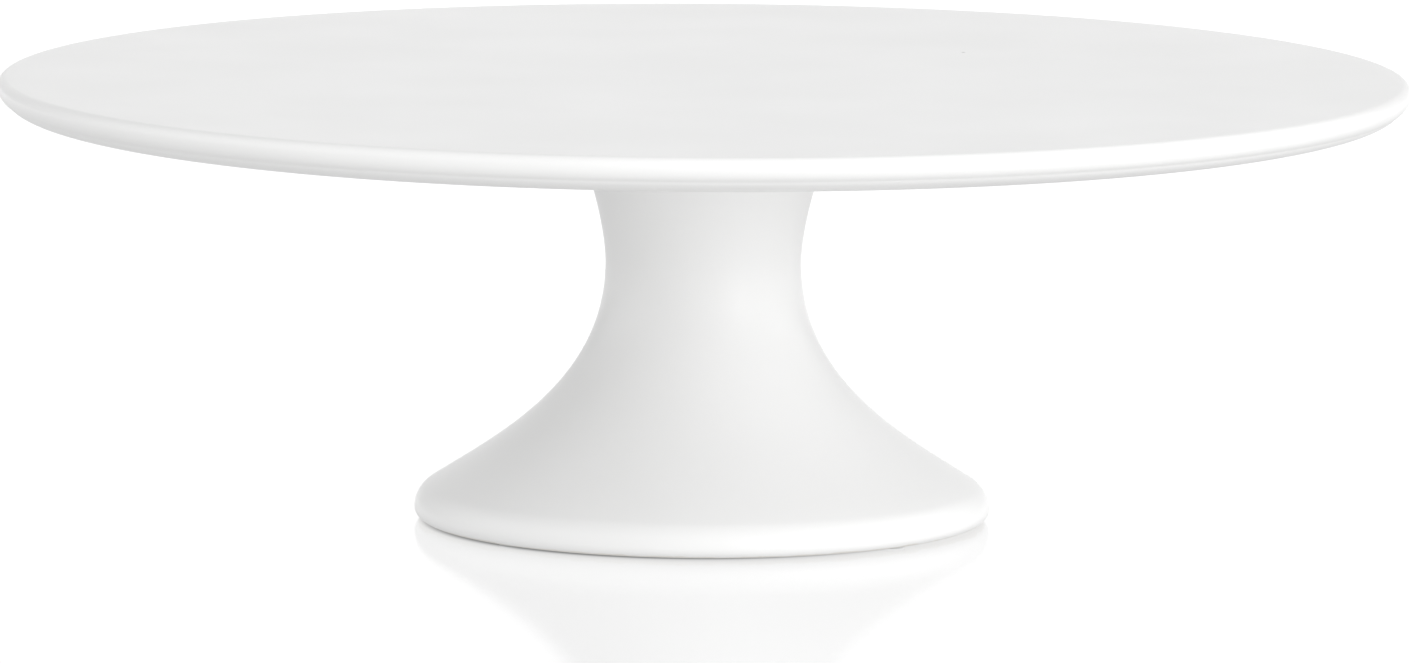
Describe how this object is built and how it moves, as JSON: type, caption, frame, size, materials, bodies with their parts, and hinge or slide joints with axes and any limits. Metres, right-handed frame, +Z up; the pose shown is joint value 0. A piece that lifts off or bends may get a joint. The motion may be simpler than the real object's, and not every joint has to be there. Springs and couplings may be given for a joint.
{
  "type": "cake stand",
  "caption": "Low pedestal cake stand in white glazed porcelain: a flat round plate bolted to a flared hollow foot with a wing nut inside the stem.",
  "frame": {"origin": "middle of the base, on the surface the stand rests on", "axes": "+Z up along the axis of the plate and the pedestal; +X and +Y are level, and the wings of the nut lie along X at rest"},
  "size_m": [0.3048, 0.3048, 0.0966],
  "materials": {
    "porcelain": "satin clear glaze, unglazed on the foot ring",
    "clear_silicone": "translucent",
    "zinc_steel": "bright zinc plate",
    "potting_resin": "cast, glossy",
    "black_rubber": "matte"
  },
  "bodies": {
    "pedestal": {"pedestal": "porcelain", "joint_gasket": "clear_silicone", "foot_pads": "clear_silicone"},
    "plate": {"plate": "porcelain", "potting_resin": "potting_resin", "anchor_bolt": "zinc_steel"},
    "washers": {"cushion_washer": "black_rubber", "steel_washer": "zinc_steel"},
    "wing_nut": {"wing_nut": "zinc_steel"}
  },
  "joints": [
    {"name": "plate_lift", "type": "slide", "parent": "pedestal", "child": "plate", "axis": [0, 0, 1], "range_m": [0, 0.04]},
    {"name": "nut_travel", "type": "slide", "parent": "pedestal", "child": "washers", "axis": [0, 0, -1], "range_m": [0, 0.01]},
    {"name": "nut_turn", "type": "hinge", "parent": "washers", "child": "wing_nut", "pos_m": [0, 0, 0.0671], "axis": [0, 0, -1], "range_deg": [0, 3600]}
  ],
  "couplings": [
    {"joint": "nut_travel", "follows": "nut_turn", "m_per_rad": 0.00015915}
  ]
}
